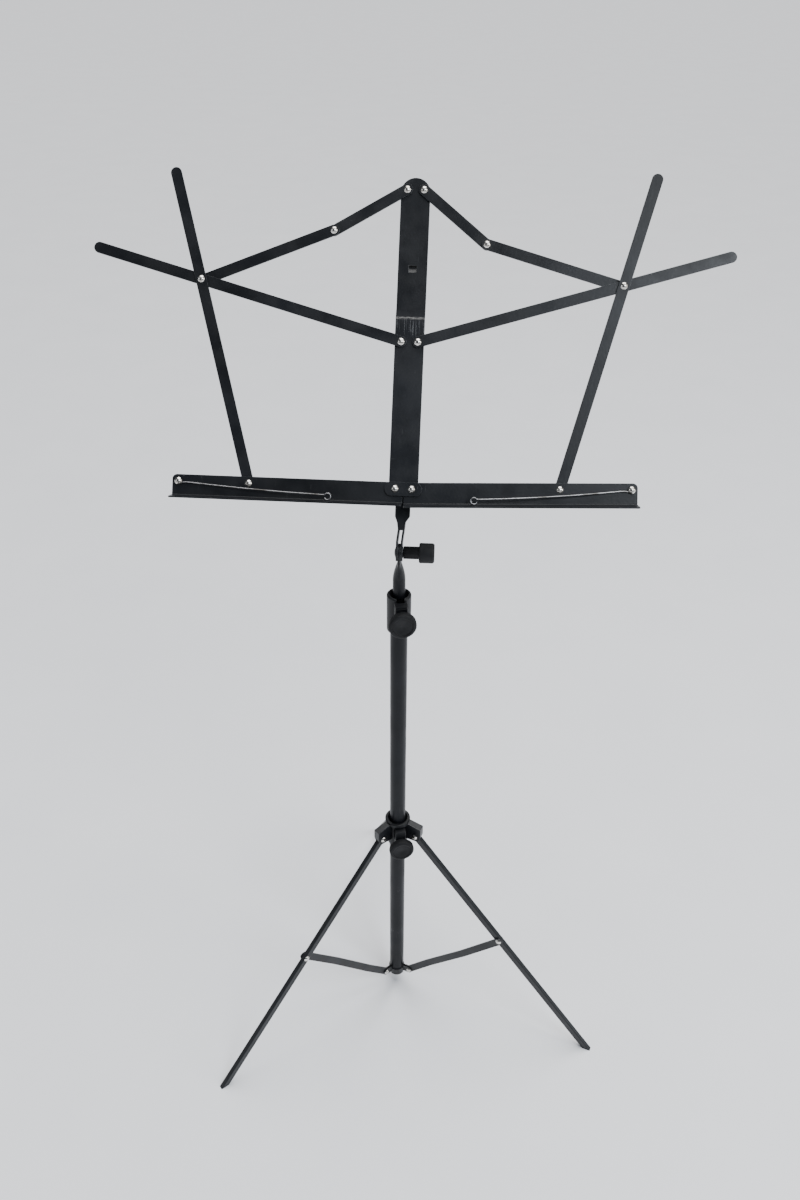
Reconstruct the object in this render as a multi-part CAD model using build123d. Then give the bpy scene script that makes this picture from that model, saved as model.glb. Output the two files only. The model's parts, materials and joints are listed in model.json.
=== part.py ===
from build123d import *
import os
from math import asin, atan2, cos, degrees, radians, sin, sqrt

# Folding sheet-music stand: a tripod with sliding collar, a telescopic mast, a tilt hinge and a
# folding desk of riveted flat bars. Millimetres, +Z up, floor at Z = 0, mast axis on Z, the desk
# faces -Y and its ledge runs along X.

# ---- driving dimensions: sheet metal, rivets and fits ----
GAP = 0.3                # clearance between pieces that move past each other
FIT = 0.05               # radial clearance of a pin in its hole
SLIDE_FIT = 0.1          # radial clearance of a sleeve on a tube
BAR_WIDTH = 11.2         # flat bars of the desk
BAR = 1.5                # sheet thickness of bars, spine and ledge
THIN = 1.2               # sheet thickness of legs, brackets and hub
RIVET_R = 1.75           # rivet shank
HEAD_R = 3.7             # rivet dome
HEAD_H = 1.8
TAIL_R = 3.2             # rivet tail
TAIL_H = 1.3
TAIL_LOW = 0.9           # tail of the rivets that pass over the long arms
LOOSE = 1.0              # cutters run this far past the faces that they open
SINK = 0.2               # joined solids run this far into each other

# ---- driving dimensions: mast ----
LOWER_R = 9.525          # lower tube, 3/4 inch outside diameter
LOWER_WALL = 1.2
LOWER_Z = (18.0, 622.0)
INNER_R = 6.75           # inner tube
INNER_WALL = 1.1
INNER_BOTTOM = 150.0
BEAD = (0.9, 4.0)        # bead at the inner tube's foot, out and up
BUSH_LENGTH = 16.0
FLARE_LOW = 671.0        # the inner tube starts to flatten here
FLARE_HIGH = 694.0       # and is a flat tongue from here up
TONGUE = 2.4             # thickness of the tongue
TONGUE_WIDTH = 18.5

# ---- driving dimensions: tripod ----
LEG_AZIMUTHS = {"rear": 99.5, "left": 219.5, "right": 339.5}
LEG_PIVOT = (24.5, 296.8)      # radius and height of the rivet in the collar's bracket
FOOT = (272.0, 4.0)            # radius and height where the leg's centre line ends
STRUT_SHARE = 0.481            # how far down the leg its strut is riveted
LEG_DEPTH = 8.0
LEG_WIDTH = 6.0
LEG_HEAD = 5.0                 # leg above its pivot
LEG_TIP = 25.0                 # and past its foot, before it is cut level
STRUT_WIDTH = 10.5
STRUT_BEND = (68.0, 138.0)     # the strut bends back to the leg's plane between these
HUB_PIVOT = (18.5, 26.3)
HUB_Z = (17.5, 28.0)           # the hub's bands
EAR_R = 4.7

# ---- driving dimensions: sliding collar ----
COLLAR_Z = (279.0, 319.0)
COLLAR_R = 12.3
COLLAR_LIP = (15.5, 6.0)       # radius and height of the lip round its mouth
COLLAR_MOUTH = (2.6, 4.0)      # width and depth of the mouth's chamfer
COLLAR_FACE = 20.5             # face of the screw's boss, from the mast axis
COLLAR_KNOB_Z = 288.0
COLLAR_KNOB_AZIMUTH = 284.0
BRACKET_X = (8.0, 32.5)        # the leg brackets, from the mast axis outwards
BRACKET_TOP = (318.0, 312.0)   # roof, at the collar and at its far end
BRACKET_FOOT = (290.5, 299.0)  # lower edge of the cheeks and of the end wall

# ---- driving dimensions: clamp screws and height clamp ----
KNOB_R = 15.2
KNOB_THICK = 8.0
STUD_R = 2.95
NUT = 8.0
CLAMP_R = 13.15
CLAMP_Z = (607.0, 653.2)
CLAMP_FACE = 21.5
CLAMP_BOSS = (6.8, 616.0, 650.0)     # half width, foot and top of the screw's boss
CLAMP_MOUTH = (10.6, 8.0)      # radius and depth of the funnel round the inner tube
CLAMP_KNOB_Z = 631.0
CLAMP_KNOB_AZIMUTH = 280.5
RIBS = (638.5, 641.0, 643.5, 646.0)
RIB = (6.1, 1.2)               # half width and height

# ---- driving dimensions: tilt hinge ----
HINGE_Z = 704.3
PRONG = 2.0
WASHER = (5.6, 0.6)            # radius and thickness
BOLT_HEAD = (4.8, 1.1)
TILT_NECK = (6.6, 20.8)        # radius, and how far out it reaches
TILT_KNOB = (10.5, 20.4, 36.4)
CUP = (7.7, 36.5)              # half width of the bracket behind the spine, and its shoulder
NECK = (4.4, 30.5, 1.4)        # half width under the shoulder, its height, and its shift right
FORK = 22.5                    # the prongs part below this height
CHEEK_R = 9.2                  # round end of the prongs

# ---- driving dimensions: desk, in its own plane (x right, y up the desk, z forward) ----
LEAN = 32.9              # degrees from vertical
DESK_SHIFT = 2.4         # the desk sits a little to the right of the mast
DESK_SKEW = -0.5         # and is a fraction of a degree out of square
LEDGE_PIVOT_UP = 63.8    # ledge pivots above the tilt axis
DESK_FORWARD = 10.9      # desk plane in front of the tilt axis
PIVOT_HALF = 8.5         # every pair of pivots on the spine is this far off its centre
FOOT_BAR = 150.0         # ledge pivot to diagonal arm, and ledge pivot to long arm
CROSS_BAR = 214.4        # either arm's pivot to the crossing
UPPER_LINK = 85.3
SECOND_LINK = 144.4
TOP_PIVOT = 305.4        # top pivots above the ledge pivots
ARM_BEYOND = 116.0       # arms past the crossing, to the tip
SPINE_HALF = 15.0
SPINE_Y = (-12.0, 317.7)
SPINE_STEP = (174.2, 185.4)
TAB_SLOT = (4.0, 222.0, 229.0)     # half width, foot and top of the lanced slot
TAB = (4.8, 9.3, 1.3, -24.0)       # the louvre behind it: half width, length, thickness, slope
PLATE = (23.8, 14.2)               # centre plate, between its ends' centres and across

# ---- driving dimensions: ledge and page holders ----
LEDGE_HALF = {"left": 236.8, "right": 236.5}   # centre to the ledge's end
LEDGE_ANGLE = {"left": 90.0, "right": 88.0}    # ledge half to spine, in degrees
LEDGE_INNER = 7.9                              # ledge half past its pivot, to the middle
LEDGE_TOP = 6.9                                # top edge of the ledge above its rivets
LEDGE_FOOT = {"left": 13.9, "right": 14.6}     # fold line below the rivets
LIP_DROOP = {"left": 10.0, "right": 12.0}      # degrees the lip hangs below square
LIP_REACH = 17.5
HOLDER_PIVOT = 221.8     # page holder's rivet, along the ledge half from its pivot
HOLDER_LENGTH = {"left": 154.5, "right": 158.7}
HOLDER_DROP = {"left": 11.0, "right": 12.1}    # centre of the wire's eye below its rivet
HOLDER_STAND_OFF = 8.5   # and its distance further from the ledge's face there
WIRE_R = 0.75
RING_R = 2.75            # ring round the rivet
EYE_R = 3.4              # eye at the free end
EYE_OFFSET = 1.5         # the wire runs in this far above the eye's centre

# levels across the desk, back to front; each pair is (back face, front face)
Z_UPPER_SPINE = (-7.3, -5.8)
Z_UPPER_LINK = (-5.5, -4.0)
Z_SECOND_LINK = (-3.7, -2.2)
Z_LOWER_SPINE = (-1.8, -0.3)
Z_LONG_ARM = (0.0, 1.5)
Z_DIAGONAL_ARM = (1.8, 3.3)
Z_LEDGE = (3.6, 5.1)
Z_CENTRE_PLATE = (5.4, 6.6)

SIDES = {"left": -1, "right": 1}
nodes = {}


def save(name, *solids):
    """Keep a named node, as one solid or as a group of separate solids."""
    nodes[name] = solids[0] if len(solids) == 1 else Compound(children=list(solids))


def cylinder(radius, start, end):
    """Upright cylinder between two heights."""
    return Pos(0, 0, start) * Cylinder(radius, end - start, align=(Align.CENTER, Align.CENTER, Align.MIN))


def bore(radius, start, end):
    """Cutter for a round hole, run on past both faces."""
    return cylinder(radius, start - LOOSE, end + LOOSE)


def block(x, y, z):
    """Box from three (low, high) pairs."""
    middle = [(a + b) / 2 for a, b in (x, y, z)]
    return Pos(*middle) * Box(x[1] - x[0], y[1] - y[0], z[1] - z[0])


def rims(solid):
    """Round edges of an upright solid, lowest first."""
    return solid.edges().filter_by(GeomType.CIRCLE).sort_by(Axis.Z)


def outer_corners(solid):
    """The two upright edges furthest out along x."""
    return solid.edges().filter_by(Axis.Z).sort_by(Axis.X)[-2:]


def dome(radius, height):
    """Rivet head: a spherical cap standing on z = 0."""
    ball = (radius**2 + height**2) / (2 * height)
    return (Pos(0, 0, height - ball) * Sphere(ball)) & cylinder(2 * radius, 0, 2 * height)


def rivet(low, high, tail=TAIL_H, tail_radius=TAIL_R):
    """Rivet along z through the stack from low to high, domed in front; a tail of 0 is flush."""
    body = cylinder(RIVET_R, low, high + SINK) + Pos(0, 0, high) * dome(HEAD_R, HEAD_H)
    if tail:
        body += cylinder(RIVET_R, low - SINK, high)
        body += Pos(0, 0, low) * Rot(180, 0, 0) * dome(tail_radius, tail)
    return body


def slab(face, z):
    """Plane face extruded between two z levels."""
    return Pos(0, 0, z[0]) * extrude(face, z[1] - z[0])


def side_view(points, y):
    """Polygon of (x, z) points, extruded between two y values."""
    solid = extrude(make_face(Polyline(*points, close=True)), y[1] - y[0])
    return Pos(0, y[1], 0) * Rot(90, 0, 0) * solid


def across(profile, half_width):
    """Face drawn as (up the desk, level), extruded both ways along the desk's x."""
    return Rot(0, 0, 90) * Rot(90, 0, 0) * extrude(profile, half_width, both=True)


def bent_sheet(path, thickness):
    """Closed outline of a sheet that follows a path of (along, level) points."""
    back = [(along, level - thickness) for along, level in reversed(path)]
    return list(path) + back


# ---------------------------------------------------------------------------------------------
# knobs, studs and nuts of the two clamps, built along +x from the mast axis
# ---------------------------------------------------------------------------------------------
def clamp_knob(inner, face):
    """Round knob standing off a boss face, with the stud that presses on the tube."""
    hub_r, hub_length = 6.5, 2.0
    rear, front = face + hub_length - SINK, face + hub_length - SINK + KNOB_THICK
    disc = cylinder(KNOB_R, rear, front)
    disc = fillet(rims(disc)[-1], 2.5)
    disc = fillet(rims(disc)[0], 1.2)
    hub = cylinder(hub_r, face + GAP, face + hub_length)
    stud = cylinder(STUD_R, inner, rear + LOOSE)
    return Rot(0, 90, 0) * (hub + disc + stud)


def square_nut(x):
    """Nut held in a boss, bored for the stud."""
    nut = block(x, (-NUT / 2, NUT / 2), (-NUT / 2, NUT / 2))
    return nut - Rot(0, 90, 0) * bore(STUD_R + FIT, *x)


def stud_hole(outer):
    return Rot(0, 90, 0) * cylinder(STUD_R + GAP, 0, outer)


def nut_pocket(x, z):
    """Cutter for the slot that a nut drops into."""
    half = NUT / 2 + SINK
    return block(x, (-half, half), z)


# ---------------------------------------------------------------------------------------------
# tripod: each leg and strut is drawn in the XZ plane and turned to its azimuth
# ---------------------------------------------------------------------------------------------
pivot_r, pivot_z = LEG_PIVOT
foot_r, foot_z = FOOT
leg_angle = degrees(atan2(foot_r - pivot_r, pivot_z - foot_z))
leg_run = sqrt((foot_r - pivot_r) ** 2 + (pivot_z - foot_z) ** 2)
strut_at = leg_run * STRUT_SHARE
strut_r = pivot_r + strut_at * sin(radians(leg_angle))
strut_z = pivot_z - strut_at * cos(radians(leg_angle))
hub_r, hub_z = HUB_PIVOT
strut_length = sqrt((strut_r - hub_r) ** 2 + (strut_z - hub_z) ** 2)
strut_angle = degrees(atan2(strut_r - hub_r, strut_z - hub_z))
strut_level = -(LEG_WIDTH / 2 + GAP)       # the strut's face next to the leg, on the clockwise side
ear_inner = BAR / 2 + GAP
lip_r, lip_height = COLLAR_LIP
collar_bore = LOWER_R + SLIDE_FIT


def lower_tube():
    return cylinder(LOWER_R, *LOWER_Z) - bore(LOWER_R - LOWER_WALL, *LOWER_Z)


def cross_hole(x, z):
    """Rivet hole along y through the pivot at (x, z)."""
    return Pos(x, 0, z) * Rot(90, 0, 0) * cylinder(RIVET_R + FIT, -STRUT_WIDTH, STRUT_WIDTH)


def leg():
    """U channel, open towards the mast, with a rounded solid tip cut level with the floor."""
    half, deep, solid_tip = LEG_WIDTH / 2, LEG_DEPTH / 2, 8.0
    outside = block((-deep, deep), (-half, half), (-leg_run - LEG_TIP, LEG_HEAD))
    outside = fillet(outer_corners(outside), 1.0)
    channel_z = (solid_tip - leg_run, LEG_HEAD + LOOSE)
    channel = outside - block((-deep - LOOSE, deep - THIN), (THIN - half, half - THIN), channel_z)
    channel -= cross_hole(0, 0) + cross_hole(0, -strut_at)
    placed = Pos(pivot_r, 0, pivot_z) * Rot(0, -leg_angle, 0) * channel
    return placed - block((0, 2 * foot_r), (-2 * half, 2 * half), (-2 * LEG_TIP, 0))


def strut():
    """Flat strip from the leg to the hub, bent a little sideways towards the leg's plane."""
    past = STRUT_WIDTH / 2 + LOOSE
    start, end = STRUT_BEND
    centre = BAR / 2
    path = [(past, strut_level), (-start, strut_level), (-end, centre), (-strut_length - past, centre)]
    outline = make_face(Polyline(*[(level, along) for along, level in bent_sheet(path, BAR)], close=True))
    bent = Pos(-past, 0, 0) * Rot(0, 90, 0) * Rot(0, 0, 90) * extrude(outline, 2 * past)
    plan = extrude(SlotCenterToCenter(strut_length, STRUT_WIDTH), STRUT_WIDTH, both=True)
    strip = bent & (Pos(0, 0, -strut_length / 2) * Rot(90, 0, 0) * Rot(0, 0, 90) * plan)
    strip -= cross_hole(0, 0) + cross_hole(0, -strut_length)
    return Pos(strut_r, 0, strut_z) * Rot(0, strut_angle, 0) * strip


def strut_rivet():
    """Through both flanges of the leg and the strut, headed on both sides."""
    solid = rivet(strut_level - BAR, LEG_WIDTH / 2, tail=HEAD_H, tail_radius=HEAD_R)
    return Pos(strut_r, 0, strut_z) * Rot(-90, 0, 0) * solid


def collar_bracket():
    """Channel over the top of a leg: sloping roof, end wall and two cheeks."""
    cheek = LEG_WIDTH / 2 + GAP
    outer = cheek + THIN
    root, end = BRACKET_X
    top, end_top = BRACKET_TOP
    foot, wall_foot = BRACKET_FOOT
    wall = end - THIN
    low = foot - LOOSE
    profile = [(root, top), (end, end_top), (end, wall_foot), (end - 2 * THIN, foot), (root, foot)]
    mouth = [(wall, wall_foot), (end + LOOSE, wall_foot), (end + LOOSE, low), (0, low)]
    inside = [(0, top + SINK), (wall, end_top - THIN)] + mouth
    shell = side_view(profile, (-outer, outer)) - side_view(inside, (-cheek, cheek))
    shell -= cross_hole(pivot_r, pivot_z)
    shell -= bore(COLLAR_R, *COLLAR_Z)
    return shell - bore(lip_r, COLLAR_Z[1] - lip_height + LOOSE, COLLAR_Z[1])


def bracket_rivet():
    reach = LEG_WIDTH / 2 + GAP + THIN
    solid = rivet(-reach, reach, tail=HEAD_H, tail_radius=HEAD_R)
    return Pos(pivot_r, 0, pivot_z) * Rot(-90, 0, 0) * solid


def collar():
    """Sleeve with a lip and a chamfered mouth, and a boss for the clamp screw."""
    low, high = COLLAR_Z
    boss_half, pocket = 6.5, (13.0, 17.2)
    sleeve = cylinder(COLLAR_R, low, high - LOOSE)
    lip = cylinder(lip_r, high - lip_height, high)
    lip = fillet(rims(lip), 1.5)
    boss = block((LOWER_R - LOOSE, COLLAR_FACE), (-boss_half, boss_half), (low, high - lip_height - LOOSE))
    boss = fillet(outer_corners(boss), 1.2)
    boss -= nut_pocket(pocket, (low - LOOSE, COLLAR_KNOB_Z + NUT / 2 + SINK))
    solid = sleeve + lip + Rot(0, 0, COLLAR_KNOB_AZIMUTH) * boss
    wide, deep = COLLAR_MOUTH
    mouth = Pos(0, 0, high - deep / 2) * Cone(collar_bore, collar_bore + wide, deep + 2 * FIT)
    solid -= bore(collar_bore, *COLLAR_Z) + mouth
    return solid - Rot(0, 0, COLLAR_KNOB_AZIMUTH) * Pos(0, 0, COLLAR_KNOB_Z) * stud_hole(2 * COLLAR_FACE)


def hub_band(azimuth):
    """One third of the hub: an arc round the tube, ending in an ear at each of two struts."""
    third = radians(120)
    reach = 3 * hub_r
    ring = cylinder(LOWER_R + THIN, *HUB_Z) - bore(LOWER_R + FIT, *HUB_Z)
    wedge = Polyline((0, 0), (reach, 0), (reach * cos(third), reach * sin(third)), close=True)
    arc = ring & (Rot(0, 0, azimuth) * slab(make_face(wedge), HUB_Z))
    strut_gap = block((0, reach), (-ear_inner, ear_inner), (0, 2 * hub_z))
    ear = block((LOWER_R, hub_r), (ear_inner, ear_inner + THIN), (hub_z - EAR_R, hub_z + EAR_R))
    ear += Pos(hub_r, 0, hub_z) * Rot(90, 0, 0) * cylinder(EAR_R, -ear_inner - THIN, -ear_inner)
    ear -= cross_hole(hub_r, hub_z)
    ear -= bore(LOWER_R + FIT, 0, 2 * hub_z)
    arc -= Rot(0, 0, azimuth) * strut_gap
    arc -= Rot(0, 0, azimuth + 120) * strut_gap
    return arc + Rot(0, 0, azimuth) * ear + Rot(0, 0, azimuth + 120) * ear.mirror(Plane.XZ)


def hub_rivet():
    """The rivet's two headed ends, one in each ear: the strut's eye turns between them."""
    outer = ear_inner + THIN
    stub = cylinder(RIVET_R, ear_inner, outer + SINK) + Pos(0, 0, outer) * dome(HEAD_R, HEAD_H)
    return [Pos(hub_r, 0, hub_z) * Rot(turn, 0, 0) * stub for turn in (-90, 90)]


save("lower_tube", lower_tube())
save("tripod_collar", collar())
save("collar_rivets", *[Rot(0, 0, azimuth) * bracket_rivet() for azimuth in LEG_AZIMUTHS.values()])
for place, azimuth in LEG_AZIMUTHS.items():
    turn = Rot(0, 0, azimuth)
    save("collar_bracket_" + place, turn * collar_bracket())
    save("leg_" + place, turn * leg())
    save("strut_" + place, turn * strut())
    save("strut_rivet_" + place, turn * strut_rivet())
save("hub_band_left", hub_band(LEG_AZIMUTHS["rear"]))
save("hub_band_front", hub_band(LEG_AZIMUTHS["left"]))
save("hub_band_right", hub_band(LEG_AZIMUTHS["right"]))
save("hub_rivets", *[Rot(0, 0, azimuth) * end for azimuth in LEG_AZIMUTHS.values() for end in hub_rivet()])

collar_screw = Rot(0, 0, COLLAR_KNOB_AZIMUTH) * Pos(0, 0, COLLAR_KNOB_Z)
save("collar_knob", collar_screw * clamp_knob(LOWER_R + GAP, COLLAR_FACE))
save("collar_nut", collar_screw * square_nut((13.1, 17.1)))


# ---------------------------------------------------------------------------------------------
# mast
# ---------------------------------------------------------------------------------------------
def height_clamp():
    """Moulded collar pressed over the lower tube, guiding the inner tube, with a ribbed boss."""
    low, high = CLAMP_Z
    half, boss_low, boss_top = CLAMP_BOSS
    rib_half, rib_height = RIB
    body = cylinder(CLAMP_R, low, high)
    body = fillet(rims(body)[-1], 2.0)
    body = fillet(rims(body)[0], 1.5)
    boss = block((INNER_R + LOOSE, CLAMP_FACE), (-half, half), (boss_low, boss_top))
    boss = fillet(outer_corners(boss), 1.0)
    boss = fillet(boss.edges().filter_by(Axis.Y).sort_by(Axis.Z)[-1], 1.0)
    for z in RIBS:
        boss += block((CLAMP_FACE - SINK, CLAMP_FACE + 2 * GAP), (-rib_half, rib_half), (z, z + rib_height))
    solid = body + Rot(0, 0, CLAMP_KNOB_AZIMUTH) * boss
    mouth_r, mouth_depth = CLAMP_MOUTH
    guide = INNER_R + SLIDE_FIT
    solid -= cylinder(LOWER_R + FIT, low - LOOSE, LOWER_Z[1])
    solid -= bore(guide, *CLAMP_Z)
    solid -= Pos(0, 0, high - mouth_depth / 2) * Cone(guide, mouth_r, mouth_depth + 2 * FIT)
    slot = nut_pocket((9.8, 13.8), (CLAMP_KNOB_Z - NUT / 2 - SINK, high + LOOSE))
    slot += Pos(0, 0, CLAMP_KNOB_Z) * stud_hole(2 * CLAMP_FACE)
    return solid - Rot(0, 0, CLAMP_KNOB_AZIMUTH) * slot


def inner_tube():
    """Tube with a bead at its foot, pressed flat at the top into a round-ended tongue."""
    bead_out, bead_up = BEAD
    tube = cylinder(INNER_R, INNER_BOTTOM, FLARE_LOW)
    tube += cylinder(INNER_R + bead_out, INNER_BOTTOM, INNER_BOTTOM + bead_up)
    tube -= cylinder(INNER_R - INNER_WALL, INNER_BOTTOM - LOOSE, FLARE_LOW - INNER_R)
    sections = []
    for share in (0.0, 0.35, 0.65, 0.88):
        thin = TONGUE / 2 + (INNER_R - TONGUE / 2) * cos(radians(90 * share))
        wide = INNER_R + (TONGUE_WIDTH / 2 - INNER_R) * share
        sections.append(Pos(0, 0, FLARE_LOW + (FLARE_HIGH - FLARE_LOW) * share) * Ellipse(thin, wide))
    flat = Rot(0, 0, 90) * SlotOverall(TONGUE_WIDTH, TONGUE)
    flare = loft([*sections, Pos(0, 0, FLARE_HIGH) * flat])
    tongue = slab(flat, (FLARE_HIGH, HINGE_Z))
    end = Pos(0, 0, HINGE_Z) * Rot(0, 90, 0) * cylinder(TONGUE_WIDTH / 2, -TONGUE / 2, TONGUE / 2)
    hole = Pos(0, 0, HINGE_Z) * Rot(0, 90, 0) * bore(STUD_R + FIT, -TONGUE, TONGUE)
    return tube + flare + tongue + end - hole


def guide_bush():
    """Plain bush between the tubes, resting on the inner tube's bead."""
    low = INNER_BOTTOM + BEAD[1] + GAP
    reach = (low, low + BUSH_LENGTH)
    return cylinder(LOWER_R - LOWER_WALL - SLIDE_FIT, *reach) - bore(INNER_R + FIT, *reach)


clamp_screw = Rot(0, 0, CLAMP_KNOB_AZIMUTH) * Pos(0, 0, CLAMP_KNOB_Z)
save("height_clamp", height_clamp())
save("height_knob", clamp_screw * clamp_knob(INNER_R + GAP, CLAMP_FACE + 2 * GAP))
save("height_nut", clamp_screw * square_nut((9.9, 13.7)))
save("guide_bush", guide_bush())
save("inner_tube", inner_tube())


# ---------------------------------------------------------------------------------------------
# tilt hinge, built along +x about the tilt axis
# ---------------------------------------------------------------------------------------------
prong_in = TONGUE / 2 + GAP
prong_out = prong_in + PRONG
washer_out = prong_out + WASHER[1]


def along_x(solid):
    return Pos(0, 0, HINGE_Z) * Rot(0, 90, 0) * solid


def washer(low, high):
    return cylinder(WASHER[0], low, high) - bore(STUD_R + FIT, low, high)


def tilt_bolt():
    """Low-headed bolt from the left, through prongs and tongue, into the knob."""
    shank = cylinder(STUD_R, -washer_out - SINK, 18.0)
    return shank + Pos(0, 0, -washer_out) * Rot(180, 0, 0) * dome(*BOLT_HEAD)


def tilt_knob():
    """Stepped knob: slim neck and a wide rounded head."""
    start = washer_out + GAP
    neck_r, neck_end = TILT_NECK
    head = cylinder(*TILT_KNOB)
    head = fillet(rims(head), 2.2)
    return cylinder(neck_r, start, neck_end) + head - cylinder(STUD_R + FIT, start - LOOSE, 18.5)


save("tilt_bolt", along_x(tilt_bolt()))
save("tilt_washers", along_x(washer(-washer_out, -prong_out)), along_x(washer(prong_out, washer_out)))
save("tilt_knob", along_x(tilt_knob()))


# ---------------------------------------------------------------------------------------------
# desk: everything below is drawn in the desk's plane, origin midway between the ledge pivots
# ---------------------------------------------------------------------------------------------
hinge_plane = Plane(
    origin=(0, 0, HINGE_Z),
    x_dir=(1, 0, 0),
    z_dir=(0, -cos(radians(LEAN)), sin(radians(LEAN))),
)
bracket_frame = hinge_plane.location
desk_frame = bracket_frame * Pos(DESK_SHIFT, LEDGE_PIVOT_UP, DESK_FORWARD) * Rot(0, 0, DESK_SKEW)


def turned(angle, side):
    """Unit vector at an angle from straight up the desk, towards the given side."""
    return Vector(side * sin(radians(angle)), cos(radians(angle)), 0)


def linkage(side):
    """Pivot points of one half of the desk at rest."""
    sign = SIDES[side]
    ledge_angle = LEDGE_ANGLE[side]
    foot = Vector(sign * PIVOT_HALF, 0, 0)
    kink = degrees(asin(FOOT_BAR * sin(radians(ledge_angle / 2)) / CROSS_BAR))
    arm_foot = foot + turned(ledge_angle, sign) * FOOT_BAR
    arm_root = foot + Vector(0, FOOT_BAR, 0)
    crossing = arm_root + turned(ledge_angle / 2 + kink, sign) * CROSS_BAR
    top = foot + Vector(0, TOP_PIVOT, 0)
    reach = crossing - top
    out = degrees(atan2(sign * reach.X, reach.Y))
    share = (UPPER_LINK**2 + reach.length**2 - SECOND_LINK**2) / (2 * UPPER_LINK * reach.length)
    fold = degrees(atan2(sqrt(1 - share**2), share))
    elbow = top + turned(out + fold, sign) * UPPER_LINK
    return {
        "ledge": foot, "arm_foot": arm_foot, "arm_root": arm_root,
        "crossing": crossing, "top": top, "elbow": elbow,
    }


def bar(start, end, z, beyond=0.0):
    """Round-ended flat bar with a pivot hole at start and end, run on past end if asked."""
    run = end - start
    way = run.normalized()
    length = run.length + max(beyond - BAR_WIDTH / 2, 0)
    middle = start + way * (length / 2)
    angle = degrees(atan2(way.Y, way.X))
    solid = slab(Pos(middle.X, middle.Y) * Rot(0, 0, angle) * SlotCenterToCenter(length, BAR_WIDTH), z)
    for point in (start, end):
        solid -= Pos(point.X, point.Y, 0) * bore(RIVET_R + FIT, *z)
    return solid


def spine():
    """Wide flat bar, round at the top, stepped back above the long arms, with a lanced slot."""
    low, top = SPINE_Y
    back, front = Z_UPPER_SPINE[0] - LOOSE, Z_LOWER_SPINE[1] + LOOSE
    upper, lower = Z_UPPER_SPINE[1], Z_LOWER_SPINE[1]
    step_low, step_high = SPINE_STEP
    path = [(low - LOOSE, lower), (step_low, lower), (step_high, upper), (top + LOOSE, upper)]
    sheet = across(make_face(Polyline(*bent_sheet(path, BAR), close=True)), 2 * SPINE_HALF)
    round_centre = top - SPINE_HALF
    plan = Pos(0, (low + round_centre) / 2) * Rectangle(2 * SPINE_HALF, round_centre - low)
    plan = fillet(plan.vertices().sort_by(Axis.Y)[:2], 5.0)
    plan += Pos(0, round_centre) * Circle(SPINE_HALF)
    plate = sheet & slab(plan, (back, front))
    slot_half, slot_foot, slot_top = TAB_SLOT
    plate -= block((-slot_half, slot_half), (slot_foot, slot_top), (back, front))
    for sign in SIDES.values():
        for up in (0, FOOT_BAR, TOP_PIVOT):
            plate -= Pos(sign * PIVOT_HALF, up, 0) * bore(RIVET_R + FIT, back, front)
    half, length, thick, slope = TAB
    tab = block((-half, half), (0, length), (-thick, 0))
    return plate + Pos(0, slot_foot - GAP, upper - SINK / 2) * Rot(slope, 0, 0) * tab


def ledge_section(side):
    """L section of the ledge as (up, level): upright face, rounded fold, lip hanging a little."""
    droop = radians(LIP_DROOP[side])
    back, front = Z_LEDGE
    outward = Vector(-sin(droop), cos(droop))
    fold = Vector(-LEDGE_FOOT[side], front)
    tip = fold + outward * LIP_REACH
    under = tip + Vector(-cos(droop), -sin(droop)) * BAR
    heel = under - outward * ((under.Y - back) / outward.Y)
    corners = [Vector(LEDGE_TOP, back), Vector(LEDGE_TOP, front), fold, tip, under, heel]
    outline = make_face(Polyline(*corners, close=True))
    for corner, radius in ((fold, 0.6), (heel, 2.0)):
        outline = fillet(outline.vertices().sort_by_distance(corner)[0], radius)
    return outline, tip.Y


def ledge(side):
    """One half of the ledge, with rounded corners and its three rivet holes."""
    outer = LEDGE_HALF[side] - PIVOT_HALF
    middle, width, deep = (outer - LEDGE_INNER) / 2, outer + LEDGE_INNER, 60.0
    section, reach = ledge_section(side)
    front_view = Pos(middle, LEDGE_TOP - deep / 2) * Rectangle(width, deep)
    front_view = fillet(front_view.vertices().group_by(Axis.Y)[-1].sort_by(Axis.X)[0], 6.5)
    front_view = fillet(front_view.vertices().group_by(Axis.Y)[-1].sort_by(Axis.X)[-1], 5.0)
    top_view = Pos(middle, reach - deep / 2) * Rectangle(width, deep)
    top_view = fillet(top_view.vertices().group_by(Axis.Y)[-1], 3.0)
    half = Pos(middle, 0, 0) * across(section, width / 2)
    half = half & slab(front_view, (0, deep))
    half = half & (Rot(90, 0, 0) * extrude(top_view, deep, both=True))
    for along in (0, FOOT_BAR, HOLDER_PIVOT):
        half -= Pos(along, 0, 0) * bore(RIVET_R + FIT, *Z_LEDGE)
    return on_ledge(side, 0, half if side == "right" else half.mirror(Plane.YZ))


def on_ledge(side, along, solid):
    """Place a solid on a ledge half, at a distance along it from its pivot."""
    sign = SIDES[side]
    lift = sign * (90 - LEDGE_ANGLE[side])
    return Pos(sign * PIVOT_HALF, 0, 0) * Rot(0, 0, lift) * Pos(sign * along, 0, 0) * solid


def page_holder(side):
    """Spring wire: a ring round its rivet, a straight run standing off the ledge, and an eye."""
    low = Z_LEDGE[1] + WIRE_R + GAP
    ring = Pos(0, 0, low) * Torus(RING_R, WIRE_R)
    eye = Vector(HOLDER_LENGTH[side], -HOLDER_DROP[side], low + HOLDER_STAND_OFF)
    joined = eye + Vector(-sqrt(EYE_R**2 - EYE_OFFSET**2), EYE_OFFSET, 0)
    way = Vector(joined.X, joined.Y, 0).normalized()
    start = way * RING_R + Vector(0, 0, low)
    run = Plane(origin=start, z_dir=joined - start).location * cylinder(WIRE_R, 0, (joined - start).length)
    wire = ring + run + Pos(*eye) * Torus(EYE_R, WIRE_R)
    return on_ledge(side, HOLDER_PIVOT, wire if side == "left" else wire.mirror(Plane.YZ))


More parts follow.
